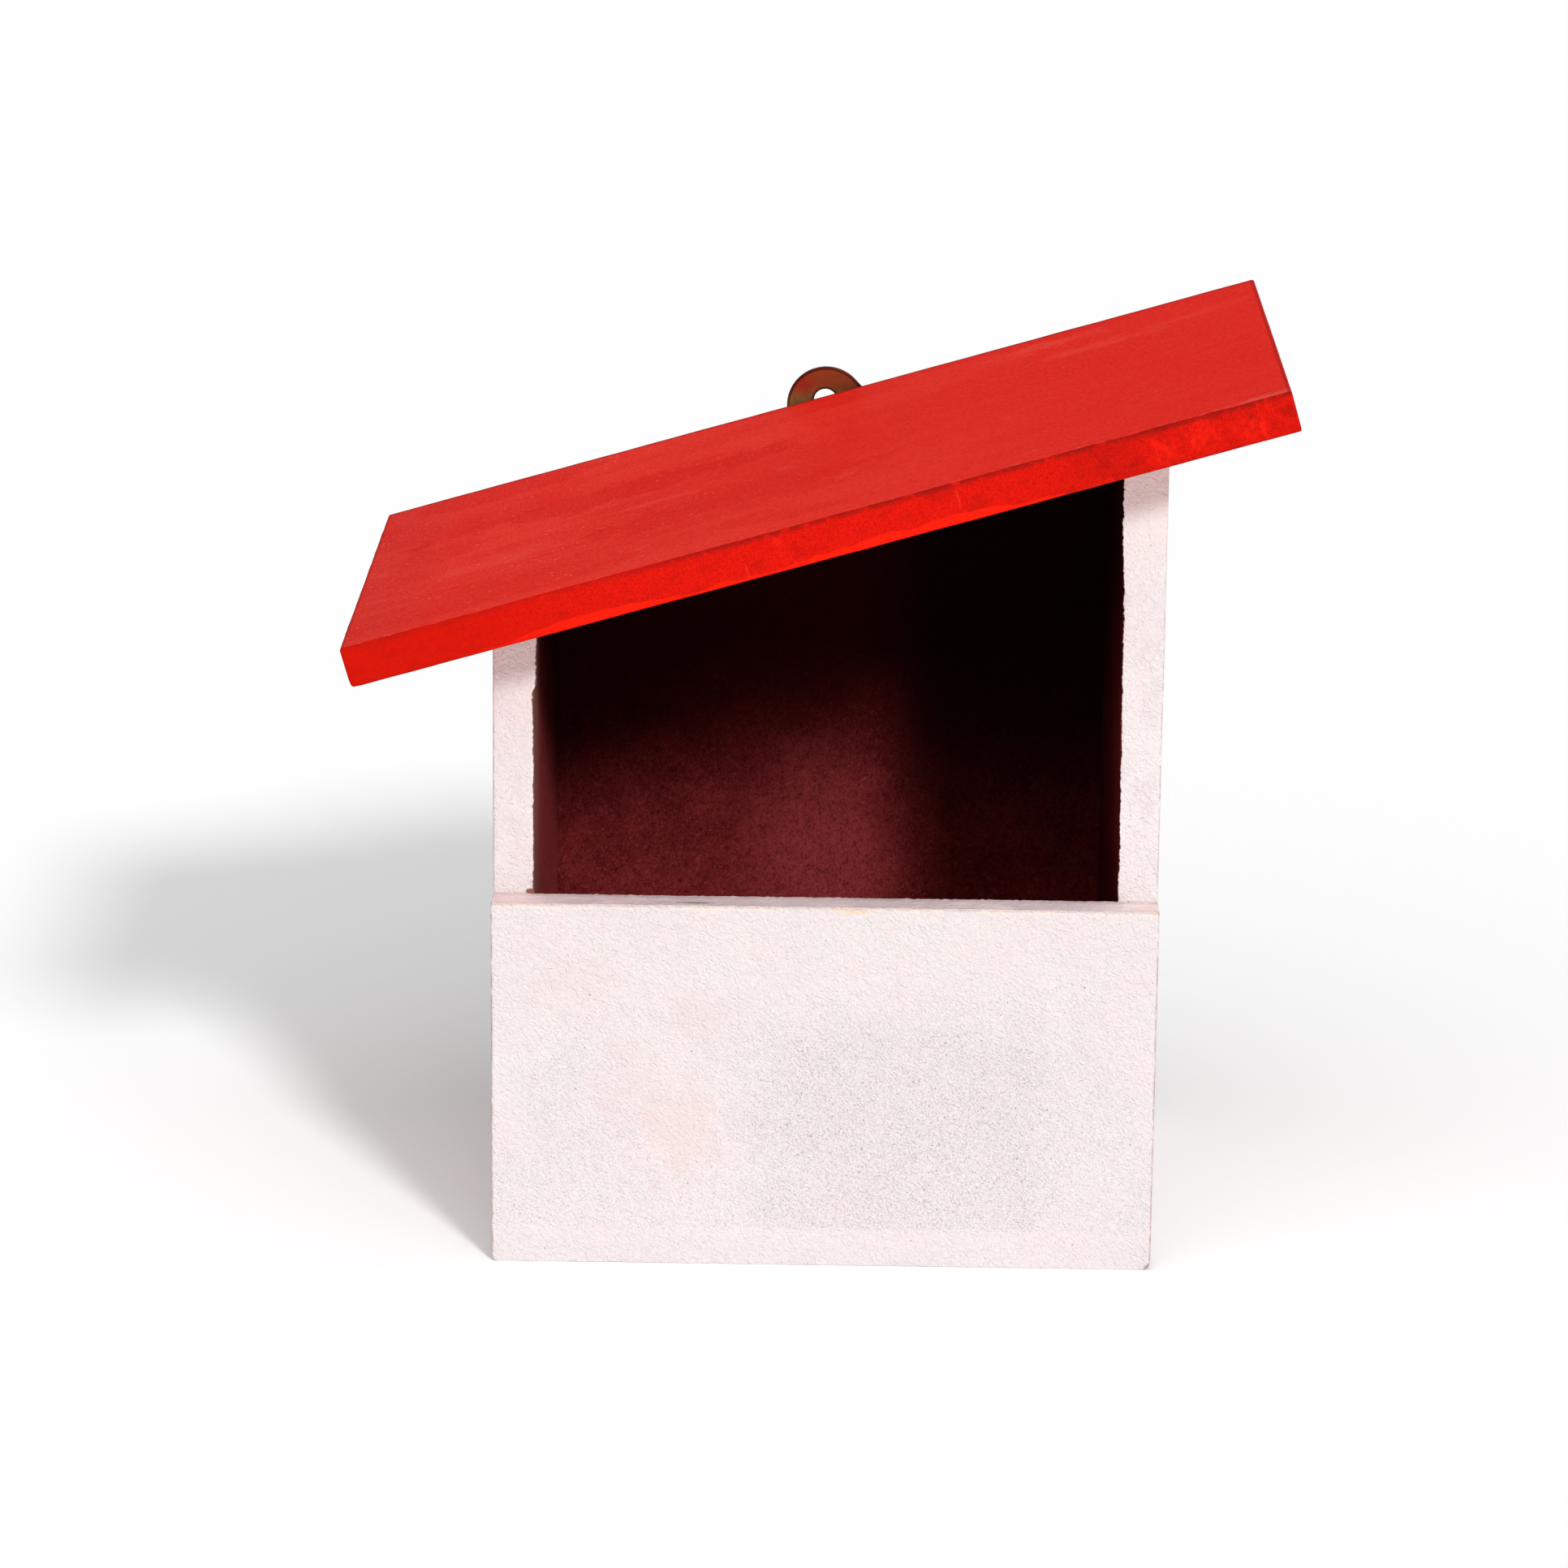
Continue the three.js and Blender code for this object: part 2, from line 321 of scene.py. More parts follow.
    def spot(self, centre, radii, ragged=0.25, size=9.0, core=0.25):
        """1 at the middle of a soft oval patch with an uneven rim, 0 outside it."""
        node = self.tree.nodes.new("ShaderNodeVectorMath")
        node.operation = "SUBTRACT"
        self._set(node.inputs[0], self.place)
        node.inputs[1].default_value = centre
        shrink = self.tree.nodes.new("ShaderNodeVectorMath")
        shrink.operation = "DIVIDE"
        self._set(shrink.inputs[0], node.outputs[0])
        shrink.inputs[1].default_value = radii
        length = self.tree.nodes.new("ShaderNodeVectorMath")
        length.operation = "LENGTH"
        self._set(length.inputs[0], shrink.outputs[0])
        wobble = self.wander(ragged * 4, size)
        return self.ramp(self.plus(length.outputs["Value"], wobble), 1.0, core)

    def bump(self, height, distance_mm):
        node = self.tree.nodes.new("ShaderNodeBump")
        node.inputs["Strength"].default_value = 1.0
        node.inputs["Distance"].default_value = distance_mm * MM
        self._set(node.inputs["Height"], height)
        return node.outputs["Normal"]

    def out(self, color, roughness, normal=None, **values):
        self._set(self.bsdf.inputs["Base Color"], color)
        self._set(self.bsdf.inputs["Roughness"], roughness)
        if normal is not None:
            self._set(self.bsdf.inputs["Normal"], normal)
        for name, value in values.items():
            self.bsdf.inputs[name.replace("_", " ")].default_value = value
        return self.material


def srgb(red, green, blue):
    """A linear colour from sRGB values of 0 to 255."""
    parts = [c / 255 for c in (red, green, blue)]
    return tuple(c / 12.92 if c <= 0.04045 else ((c + 0.055) / 1.055) ** 2.4 for c in parts)


# ------------------------------------------------------------------ finishes

FRONT_FACE, FRONT_TOP = FRONT_LOW.y, FRONT_HIGH.z
ROOF_FRONT = ROOF_LOW.y
CAVITY_FRONT, CAVITY_BACK = FRONT_HIGH.y, BACK_LOW.y
BOARD_ROUGHNESS = (0.58, 0.7)  # white paint, dark red paint
BOARD_BUMPS = (0.6, 0.25)
OUTER_RUB = 0.7  # how far in from a box's outer faces the arrises are rubbed

# Warmer patches on the front board: middle across and up, reach, strength.
PEACH_PATCHES = ((-43, 42, 21, 0.5), (-55, 56, 15, 0.35), (-38, 76, 12, 0.3), (-72, 86, 15, 0.25))
# Painted light: the paler top of a side board's front, under the roof, lifting the roof's shadow
# there: from and to height, strength.
PAINTED_LIGHT_TOPS = {-1: (155, 182, 0.12), 1: (195, 235, 0.55)}
# The roof's deeper bands: middle up the slope and front to back, half length, half width, depth.
ROOF_BANDS = ((80, 11, 68, 15, 1.0), (190, 22, 70, 15, 0.5), (114, -42, 52, 19, 0.9),
              (38, 61, 36, 15, 0.8), (22, -10, 18, 14, 0.6))
# Its paler brush marks, in the same terms.
ROOF_BRUSH_MARKS = ((98, -18, 20, 3.5, 0.4), (214, 58, 24, 7, 0.6), (252, 42, 22, 3, 0.4),
                    (44, -40, 26, 12, 0.3), (230, 36, 22, 7, 0.4))
# On its front edge, nicks: place, level, half height. Then rubbed spots: place, level, half length.
ROOF_NICKS = ((118, 3.0, 2.2), (181, 7.4, 3.4))
ROOF_RUBS = ((241, 5.2, 7.5), (251, 7.2, 7.0), (268, 4.8, 7.0), (129, 7.0, 2.2))


def white_coat(s, dense=0.08, grey=0.06):
    """Thin white paint over fibreboard: drifting tints, short slanting flecks and orange peel."""
    slanted = s.mapped(turn=(0, -38, 0), stretch=(0.72, 1.0, 1.1))
    peel = s.noise(0.95, 2, 0.55, place=slanted, warp=0.9)
    color = s.mix(s.ramp(s.noise(24, 3), 0.36, 0.64), srgb(228, 220, 218), srgb(227, 218, 217))
    pink = s.ramp(s.noise(8, 3, 0.55), 0.5, 0.62)
    color = s.tint(color, srgb(236, 214, 214), pink, 0.25)
    cloudy = s.wander(0.4, 14, 4, 0.6)
    density = s.math("ADD", dense, cloudy, clamp=True)
    color = s.tint(color, srgb(216, 208, 215), density, 0.38)
    crowd = s.times(density, 0.12)
    strokes = s.ramp(s.plus(s.noise(0.52, 2, 0.65, place=slanted), crowd), 0.58, 0.72)
    color = s.tint(color, srgb(180, 170, 177), strokes, 0.6)
    larger = s.ramp(s.plus(s.noise(0.85, 3, 0.6, place=slanted), crowd), 0.66, 0.75)
    color = s.tint(color, srgb(168, 158, 166), larger, 0.35)
    blots = s.noise(0.6, 1, 0.5, place=s.mapped(turn=(20, 20, 20)))
    blots = s.ramp(s.plus(blots, crowd), 0.74, 0.82)
    color = s.tint(color, srgb(146, 136, 143), blots, 0.8)
    rare = s.times(s.ramp(s.cells(5.5), 0.075, 0.045), s.ramp(s.noise(10), 0.46, 0.54))
    color = s.tint(color, srgb(120, 104, 106), rare, 0.6)
    # Painted shade: the orange peel's hollows are greyed a little.
    color = s.tint(color, srgb(205, 194, 195), s.ramp(peel, 0.46, 0.34), 0.1)
    color = s.mix(grey, color, srgb(126, 122, 126))
    swell = s.times(s.noise(5, 2, 0.5), 0.9)
    return color, s.plus(peel, swell)


def maroon_coat(s, lift=0.0):
    """Dark red paint soaked into fibreboard, with the fibres showing, and painted shade that
    darkens it under the roof.
    """
    soaked = s.ramp(s.noise(14, 5, 0.6), 0.3, 0.7)
    color = s.mix(soaked, srgb(100, 25, 27), srgb(125, 38, 40))
    color = s.mix(lift, color, srgb(176, 70, 73))
    pale = s.ramp(s.noise(0.8, 3, 0.65, warp=0.5), 0.52, 0.74)
    color = s.tint(color, srgb(160, 72, 70), pale, 0.45)
    mottled = s.ramp(s.noise(2.6, 3, 0.6, warp=0.3), 0.5, 0.68)
    color = s.tint(color, srgb(72, 10, 13), mottled, 0.34)
    for turn, size in ((12, 0.65), (40, 0.9), (72, 0.6), (104, 0.8), (146, 0.7)):
        along = s.mapped(turn=(0, turn, 0), stretch=(0.36, 1, 1.2), shift=(turn, 0, 0))
        fibres = s.noise(size, 2, 0.55, place=along, warp=0.4)
        color = s.tint(color, srgb(54, 5, 8), s.ramp(fibres, 0.58, 0.69), 0.48)
        color = s.tint(color, srgb(170, 78, 76), s.ramp(fibres, 0.38, 0.28), 0.3)
    # Painted shade: under the roof the dark red goes nearly black, starting lower towards the back
    # and the left.
    behind = s.times(s.math("SUBTRACT", s.axis("Y"), CAVITY_BACK), 0.4)
    drift = s.times(s.axis("X"), -0.15)
    wander = s.wander(14, 22, 3)
    height = s.plus(s.plus(s.axis("Z"), behind), s.plus(drift, wander))
    color = s.tint(color, srgb(44, 0, 1), s.ramp(height, 84, 165), 0.965)
    return color, s.noise(1.1, 4, 0.65)


def red_coat(s):
    """Rolled red paint: soft deep bands up the slope, fine grain, dust, brush lines, scratches."""
    x = s.axis("X")
    lively = s.ramp(x, 240, 110)
    bands = s.noise(24, 4, 0.55, place=s.mapped(stretch=(0.24, 1, 1)), warp=0.5)
    deep = s.times(s.ramp(bands, 0.46, 0.64), 0.6)
    for x0, y0, long, wide, amount in ROOF_BANDS:
        band = s.spot((x0, y0, BOARD), (long, wide, 40), 0.4, 12, core=0.62)
        deep = s.math("MAXIMUM", deep, s.times(band, amount))
    color = s.mix(lively, srgb(223, 35, 23), srgb(225, 44, 31))
    color = s.mix(deep, color, s.mix(lively, srgb(219, 30, 19), srgb(214, 23, 11)))
    color = s.tint(color, srgb(160, 36, 30), s.ramp(x, 32, 8), 0.2)
    streaks = s.noise(3.0, 4, 0.6, place=s.mapped(turn=(0, 0, -3), stretch=(0.06, 1, 1)))
    brushed = s.times(s.ramp(streaks, 0.54, 0.7), s.ramp(s.noise(30, 2), 0.5, 0.62))
    brushed = s.times(brushed, s.ramp(x, 80, 180))
    color = s.tint(color, srgb(232, 66, 54), brushed, 0.5)
    for x0, y0, long, wide, amount in ROOF_BRUSH_MARKS:
        mark = s.times(s.spot((x0, y0, BOARD), (long, wide, 40), 0.5, 8), amount)
        color = s.mix(mark, color, srgb(232, 70, 60))
    grain = s.noise(1.3, 4, 0.75)
    color = s.tint(color, srgb(184, 22, 17), s.ramp(grain, 0.5, 0.34), 0.5)
    color = s.tint(color, srgb(234, 76, 62), s.ramp(grain, 0.52, 0.66), 0.35)
    dusty = s.times(s.ramp(x, 200, 40), s.ramp(s.noise(20, 3), 0.36, 0.6))
    dust = s.times(s.ramp(s.noise(0.6, 3, 0.75), 0.55, 0.66), dusty)
    color = s.tint(color, srgb(236, 108, 94), dust, 0.7)
    specks = s.times(s.ramp(s.cells(3.2), 0.18, 0.09), s.ramp(s.noise(9, 2), 0.46, 0.6))
    specks = s.times(specks, s.ramp(x, 190, 60))
    color = s.tint(color, srgb(238, 120, 106), specks, 0.75)
    line = s.noise(7, 1, 0.4, place=s.mapped(turn=(0, 0, -9), stretch=(0.14, 1, 1)), warp=0.4)
    scratch = s.ramp(s.math("ABSOLUTE", s.math("SUBTRACT", line, 0.5)), 0.012, 0.003)
    scratch = s.times(scratch, s.ramp(s.noise(14, 2), 0.61, 0.67))
    color = s.tint(color, srgb(238, 110, 96), scratch, 0.36)
    return color, s.plus(s.times(streaks, 0.5), s.noise(0.9, 3, 0.6))


def outer_edge(s):
    """1 near the box's left and right outer faces, from OUTER_RUB inwards to nearly on them."""
    return s.ramp(s.math("ABSOLUTE", s.axis("X")), HALF_WIDTH - OUTER_RUB, HALF_WIDTH - 0.15)


def join_coats(s, mask, white, maroon):
    """White paint where mask is 0 and dark red where it is 1, each a colour and a relief."""
    color = s.mix(mask, white[0], maroon[0])
    relief = s.mix(mask, white[1], maroon[1])
    rough = s.mix(mask, (BOARD_ROUGHNESS[0],) * 3, (BOARD_ROUGHNESS[1],) * 3)
    depth = s.mix(mask, (BOARD_BUMPS[0],) * 3, (BOARD_BUMPS[1],) * 3)
    relief = s.times(relief, depth)
    return s.out(color, rough, s.bump(relief, 1.0), Specular_IOR_Level=0.03)


def top_strip(s):
    """The front board's narrow top: brushed paint, greyer in the middle and pink at its ends, with
    one scuff.
    """
    brushed = s.noise(0.8, 4, 0.65, place=s.mapped(turn=(0, 0, -28), stretch=(0.2, 1, 1)))
    greyer_middle = s.ramp(s.math("ABSOLUTE", s.axis("X")), 90, 74)
    grey = s.times(greyer_middle, s.ramp(s.noise(13, 3), 0.3, 0.5))
    strip = s.mix(grey, srgb(246, 228, 227), srgb(226, 212, 214))
    strip = s.tint(strip, srgb(246, 240, 240), s.ramp(brushed, 0.52, 0.64), 0.6)
    strip = s.tint(strip, srgb(196, 178, 183), s.ramp(brushed, 0.44, 0.32), 0.6)
    rear = s.times(s.ramp(s.axis("Y"), CAVITY_FRONT - 3.5, CAVITY_FRONT - 0.5), 0.4)
    strip = s.mix(rear, strip, srgb(190, 160, 160))
    front = s.times(s.ramp(s.axis("Y"), FRONT_FACE + 1.0, FRONT_FACE + 0.4), 0.7)
    strip = s.mix(front, strip, srgb(186, 168, 164))
    scuff = s.spot((-38, FRONT_FACE + 3.5, FRONT_TOP), (8, 1.0, 6), 0.2, 2)
    return s.mix(scuff, strip, srgb(104, 86, 88))


def front_finish():
    """White paint with a flecked zone in the middle, a grey top edge and a dark red inner face."""
    s = Shader("front_white_paint")
    z = s.axis("Z")
    stray = s.wander(36, 15, 3)
    across = s.math("ABSOLUTE", s.plus(s.math("SUBTRACT", s.axis("X"), 24), stray))
    above = s.plus(z, stray)
    middle = s.times(s.ramp(across, 72, 32), s.ramp(above, 94, 60))
    lower = s.times(s.ramp(above, 44, 26), 0.55)
    right = s.times(s.spot((70, FRONT_FACE, 44), (34, 30, 36), 0.3, 14, core=0.5), 0.55)
    left = s.times(s.spot((-70, FRONT_FACE, 44), (28, 30, 34), 0.3, 12, core=0.5), 0.55)
    dense = s.math("MAXIMUM", s.math("MAXIMUM", middle, lower), s.math("MAXIMUM", left, right))
    dense = s.times(s.times(dense, 0.72), s.ramp(z, 9.5, 13))
    # Painted shade: the front board's white is greyed beyond the side boards' same paint, and a
    # little more in its lowest 16 mm.
    grey = s.plus(s.times(s.ramp(z, 16, 2), 0.07), 0.148)
    color, relief = white_coat(s, s.plus(dense, 0.03), grey)
    for x, level, reach, amount in PEACH_PATCHES:
        patch = s.spot((x, FRONT_FACE, level), (reach, 30, reach), 0.5, 8)
        color = s.mix(s.times(patch, amount), color, srgb(214, 194, 190))
    cream = s.times(s.ramp(z, FRONT_TOP - 1.6, FRONT_TOP), s.ramp(s.noise(7), 0.4, 0.6))
    color = s.tint(color, srgb(234, 214, 196), cream, 0.5)
    stain = s.spot((9, FRONT_FACE, FRONT_TOP - 0.2), (8, 8, 2.0), 0.12, 3)
    color = s.tint(color, srgb(226, 194, 142), stain, 0.5)
    arris = s.times(s.ramp(z, FRONT_TOP - 0.5, FRONT_TOP - 0.1), s.ramp(s.noise(4, 3), 0.3, 0.6))
    color = s.tint(color, srgb(186, 168, 162), arris, 0.5)
    color = s.mix(s.ramp(z, FRONT_TOP, FRONT_TOP + 0.2), color, top_strip(s))
    edge = s.times(outer_edge(s), s.ramp(s.noise(3, 3), 0.3, 0.6))
    edge = s.times(edge, s.ramp(s.axis("Y"), FRONT_FACE + 0.7, FRONT_FACE + 0.4))
    color = s.tint(color, srgb(170, 140, 132), edge, 0.75)
    bruise = s.spot((HALF_WIDTH, FRONT_FACE, 0.4), (2.4, 4, 2.0), 0.2, 1.5)
    color = s.mix(bruise, color, srgb(96, 66, 70))
    ragged = s.plus(s.axis("Y"), s.noise(0.9, 2))
    inside = s.ramp(ragged, CAVITY_FRONT + 0.25, CAVITY_FRONT + 0.6)
    return join_coats(s, inside, (color, relief), maroon_coat(s))


def side_finish(name, side):
    """White outside and dark red inside. side is -1 for the left wall and 1 for the right one."""
    s = Shader(name)
    color, relief = white_coat(s, grey=0.06 if side > 0 else 0.03)
    blotch = s.ramp(s.noise(7, 4, 0.6, place=s.mapped(stretch=(1, 1, 0.5))), 0.46, 0.68)
    on_front = s.ramp(s.axis("Y"), CAVITY_FRONT + 0.8, CAVITY_FRONT + 0.2)
    color = s.tint(color, srgb(196, 182, 188), s.times(blotch, on_front), 0.26)
    edge = s.times(outer_edge(s), s.ramp(s.noise(3, 3), 0.35, 0.6))
    color = s.tint(color, srgb(176, 146, 139), s.times(edge, on_front), 0.5)
    if side < 0:
        color = s.tint(color, srgb(206, 186, 183), s.ramp(s.axis("Z"), 165, 115), 0.15)
    # Painted light: the top of the side board's front is paled where the roof's shadow falls.
    low, high, amount = PAINTED_LIGHT_TOPS[side]
    color = s.tint(color, srgb(246, 242, 238), s.ramp(s.axis("Z"), low, high), amount)
    facing = s.times(s.facing("X"), -side)  # 1 on the inner face, 0 on the front face
    facing = s.plus(facing, s.wander(1.5, 1.0, 3))
    rubbed = s.times(s.ramp(facing, 0.3, 0.55), 0.8)
    color = s.mix(rubbed, color, srgb(112, 62, 54))
    inside = s.ramp(facing, 0.6, 0.72)
    if side < 0:
        corner = (-INSIDE_WIDTH - 0.8, CAVITY_FRONT, FRONT_TOP + 0.6)
        drip = s.spot(corner, (2.0, 2, 1.4), 0.3, 0.8)
        inside = s.math("MAXIMUM", inside, s.ramp(drip, 0.3, 0.5))
    # Painted light: the left wall's inner face, where the lamp falls, gets a paler dark red; the
    # right wall's does not.
    dark, fibres = maroon_coat(s, 0.85 if side < 0 else 0.0)
    reach = s.ramp(s.axis("Y"), CAVITY_FRONT + 40, CAVITY_FRONT + 5)
    if side < 0:
        # A paler brown towards the front: partly bare fibreboard, partly painted light.
        dark = s.tint(dark, srgb(134, 94, 86), reach, 0.75)
    else:
        # Painted shade: the right wall's inner face is taken towards near black.
        dark = s.mix(0.3, dark, srgb(12, 2, 3))
    return join_coats(s, inside, (color, relief), (dark, fibres))


def back_finish():
    """White outside. Inside, dark red with a paler middle and a shaded right part."""
    s = Shader("back_paint")
    inner = s.ramp(s.axis("Y"), CAVITY_BACK + 0.6, CAVITY_BACK + 0.3)
    lift = s.times(s.spot((-3, CAVITY_BACK, 78), (30, 30, 62), 0.15, 16), 0.38)
    dark, fibres = maroon_coat(s, lift)
    shaded = s.times(s.ramp(s.axis("X"), 8, 32), s.ramp(s.axis("Z"), 72, 132))
    dark = s.tint(dark, srgb(22, 0, 1), shaded, 0.86)
    return join_coats(s, inner, white_coat(s), (dark, fibres))


def floor_finish():
    s = Shader("floor_maroon_paint")
    color, relief = maroon_coat(s)
    return s.out(color, 0.7, s.bump(relief, 0.1), Specular_IOR_Level=0.12)


def roof_front_color(s, x, z):
    """The roof's front edge: grainy brighter red, a wavy bright band below and rubbed blotches."""
    face = s.mix(s.ramp(s.noise(0.55, 3, 0.65), 0.42, 0.64), srgb(207, 20, 7), srgb(180, 14, 6))
    blotches = s.noise(5, 5, 0.65, place=s.mapped(stretch=(0.7, 1, 1)))
    face = s.tint(face, srgb(160, 16, 8), s.ramp(blotches, 0.5, 0.66), 0.5)
    face = s.tint(face, srgb(158, 16, 8), s.ramp(x, 185, 235), 0.12)
    dull = s.spot((222, ROOF_FRONT, 7), (14, 8, 9), 0.4, 6)
    face = s.tint(face, srgb(140, 12, 6), dull, 0.22)
    wide = s.math("MAXIMUM", s.spot((72, ROOF_FRONT, 0), (30, 30, 30), 0.1),
                  s.spot((168, ROOF_FRONT, 0), (40, 30, 30), 0.1))
    wave = s.plus(s.wander(4, 9, 3), s.plus(s.times(wide, 1.9), 0.9))
    band = s.times(s.ramp(s.math("SUBTRACT", z, wave), 0.3, -0.3), s.ramp(x, 232, 205))
    band = s.times(band, s.ramp(x, 30, 48))
    face = s.tint(face, srgb(240, 28, 8), band, 0.8)
    for place, level, tall in ROOF_NICKS:
        nick = s.spot((place, ROOF_FRONT, level), (0.45, 8, tall), 0.2, 2)
        face = s.tint(face, srgb(238, 62, 42), nick, 0.35)
    rubs = s.ramp(s.noise(1.8, 5, 0.7, place=s.mapped(stretch=(1.2, 1, 0.7))), 0.38, 0.6)
    for place, level, half in ROOF_RUBS:
        glow = s.times(s.spot((place, ROOF_FRONT, level), (half, 8, 6.0), 0.6, 4), 0.52)
        face = s.mix(s.times(glow, rubs), face, srgb(238, 30, 12))
    veins = s.math("SUBTRACT", s.noise(5, 3, 0.6, warp=0.5), 0.5)
    veins = s.ramp(s.math("ABSOLUTE", veins), 0.03, 0.0)
    veins = s.times(veins, s.ramp(x, 190, 230))
    face = s.tint(face, srgb(110, 12, 8), veins, 0.3)
    face = s.tint(face, srgb(180, 15, 2), s.ramp(x, 90, 20), 0.62)
    rim = s.times(s.ramp(z, 9.8, 11.8), s.ramp(s.noise(2.6, 3), 0.28, 0.5))
    rim = s.times(rim, s.plus(s.times(s.ramp(x, 50, 130), 0.6), 0.4))
    return s.tint(face, srgb(120, 16, 11), rim, 0.8)


def roof_finish():
    """In the roof's own frame: x up the slope from its low end, z through its thickness."""
    s = Shader("roof_red_paint")
    top_color, relief = red_coat(s)
    x, y, z = s.axis("X"), s.axis("Y"), s.axis("Z")
    near = s.ramp(y, ROOF_FRONT + 3.2, ROOF_FRONT + 0.8)
    near = s.times(near, s.ramp(s.noise(3, 4, 0.6), 0.5, 0.64))
    rubbed = s.math("MAXIMUM", s.times(near, s.ramp(x, 90, 200)),
                    s.spot((272, ROOF_FRONT + 2, BOARD), (14, 3.4, 4), 0.4, 2))
    top_color = s.tint(top_color, srgb(208, 98, 88), rubbed, 0.5)
    far = s.times(s.ramp(y, ROOF_HIGH.y - 3.2, ROOF_HIGH.y - 1.8), 0.75)
    top_color = s.mix(far, top_color, srgb(132, 18, 12))
    ends = s.math("ABSOLUTE", s.math("SUBTRACT", x, ROOF_RUN / 2))
    ends = s.ramp(ends, ROOF_RUN / 2 - 1.5, ROOF_RUN / 2 - 0.8)
    top_color = s.tint(top_color, srgb(146, 20, 14), ends, 0.6)
    on_front = s.ramp(y, ROOF_FRONT + 0.8, ROOF_FRONT + 0.3)
    color = s.mix(on_front, top_color, roof_front_color(s, x, z))
    under = s.times(s.ramp(z, 0.3, 0.05), s.ramp(y, CAVITY_BACK + 0.5, CAVITY_BACK))
    under = s.times(under, s.ramp(y, CAVITY_FRONT - 0.5, CAVITY_FRONT + 0.5))
    for wall in (-1, 1):
        reach = (wall * INSIDE_WIDTH - ROOF_CORNER.x) / math.cos(ROOF_SLOPE)
        under = s.times(under, s.ramp(x, reach + wall * 0.5, reach - wall * 0.5))
    color = s.mix(under, color, srgb(40, 8, 10))
    return s.out(color, 0.62, s.bump(relief, 0.1), Specular_IOR_Level=0.03)


def brass_finish():
    """Tarnished brass: reddened at the top of the eye as a painted reflection of the red roof,
    olive lower down, dark rims.
    """
    s = Shader("strap_brass")
    height = s.plus(s.axis("Z"), s.wander(5, 4, 3))
    # Painted reflection of the red roof: the eye reddens above about 230 mm, most in a patch at its
    # upper left.
    color = s.mix(s.ramp(height, 230, 235), srgb(150, 118, 66), srgb(146, 76, 40))
    painted_roof_reflection = s.spot((EYE.x - 7.5, EYE.y, EYE.z + 6.5), (7, 5, 6), 0.3, 4, core=0)
    color = s.mix(painted_roof_reflection, color, srgb(158, 50, 36))
    color = s.tint(color, srgb(90, 56, 34), s.ramp(s.noise(1.6, 4, 0.6), 0.5, 0.7), 0.3)
    color = s.tint(color, srgb(186, 142, 92), s.ramp(s.noise(0.5, 3, 0.7), 0.55, 0.75), 0.25)
    rim = s.ramp(s.distance(EYE), EYE_RADIUS - 1.0, EYE_RADIUS - 0.45)
    rim = s.times(rim, s.ramp(s.axis("Z"), EYE.z - 2, EYE.z + 1))
    rim_color = s.mix(s.ramp(s.axis("Z"), 229, 233), srgb(104, 62, 14), srgb(70, 14, 6))
    color = s.tint(color, rim_color, rim, 0.9)
    rim = s.ramp(s.distance(HOLE), HOLE_RADIUS + 1.2, HOLE_RADIUS + 0.7)
    color = s.tint(color, srgb(74, 38, 8), rim, 0.9)
    return s.out(color, 0.4, s.bump(s.noise(0.6, 3), 0.02), Metallic=0.8)


def steel_finish():
    s = Shader("pin_steel")
    color = s.mix(s.noise(2, 4), srgb(150, 148, 144), srgb(190, 188, 184))
    return s.out(color, 0.35, s.bump(s.noise(0.3, 3), 0.01), Metallic=1.0)


# ------------------------------------------------------------------ boards

def fade(distance, reach):
    """1 at no distance, easing to 0 at reach."""
    share = min(max(1 - distance / reach, 0.0), 1.0)
    return share * share * (3 - 2 * share)


def top_to_slope(height):
    """Stretches a board of this height so that its top follows the roof."""
    def shape(point):
        point.z *= wall_top(point.x) / height
        return point
    return shape


def front_shape(point):
    """Rounded lower corners, the right one clipped, and a ragged lip of paint along the top."""
    round_corner(point, FRONT_LOW.x + 1.8, 1.8, -1, 1.8)
    round_corner(point, FRONT_HIGH.x - 2.2, 2.2, 1, 2.0)
    top = fade(FRONT_TOP - point.z, 4)
    if top > 0:
        across = (point.y - FRONT_FACE) / BOARD
        tooth = noise.noise(Vector((point.x * 0.9, 0, 0)))
        tooth += 0.5 * noise.noise(Vector((point.x * 0.2, 5, 0)))
        lip = fade(FRONT_TOP - point.z, 0.8) * max(fade(across, 0.12), fade(1 - across, 0.12))
        point.z += top * 0.5 * (1 - across) + lip * (0.12 + 0.3 * tooth)
    return point


def roof_shape(point):
    """A rounder lower corner at the low end."""
    return round_corner(point, 1.7, 1.7, -1, 1.7)


def side_shape(side, height):
    """Follows the slope, and wanders on the inner front arris, where the white paint ends."""
    slope = top_to_slope(height)

    def shape(point):
        near = fade(abs(point.x) - INSIDE_WIDTH, 5) * fade(point.y - LEFT_LOW.y, 9)
        if near > 0:
            z = Vector((0, side * 7, point.z))
            ragged = noise.noise(z * 0.035) * 0.4
            ragged += noise.noise(z * 0.3) * 0.25 + noise.noise(z * 1.1) * 0.2
            if side < 0:
                ragged -= fade(LEDGE - point.z, 3)
            else:
                ragged -= 1.4 * fade(height - point.z, 75)
            point.x += side * near * ragged
        return slope(point)
    return shape


def weld(mesh):
    """Joins doubled vertices, drops faces of no area and loose points, and turns faces outwards."""
    body = bmesh.new()
    body.from_mesh(mesh)
    bmesh.ops.remove_doubles(body, verts=body.verts, dist=WELD)
    bmesh.ops.dissolve_degenerate(body, dist=WELD, edges=body.edges)
    loose = [vertex for vertex in body.verts if not vertex.link_faces]
    bmesh.ops.delete(body, geom=loose, context="VERTS")
    bmesh.ops.recalc_face_normals(body, faces=body.faces)
    body.to_mesh(mesh)
    body.free()


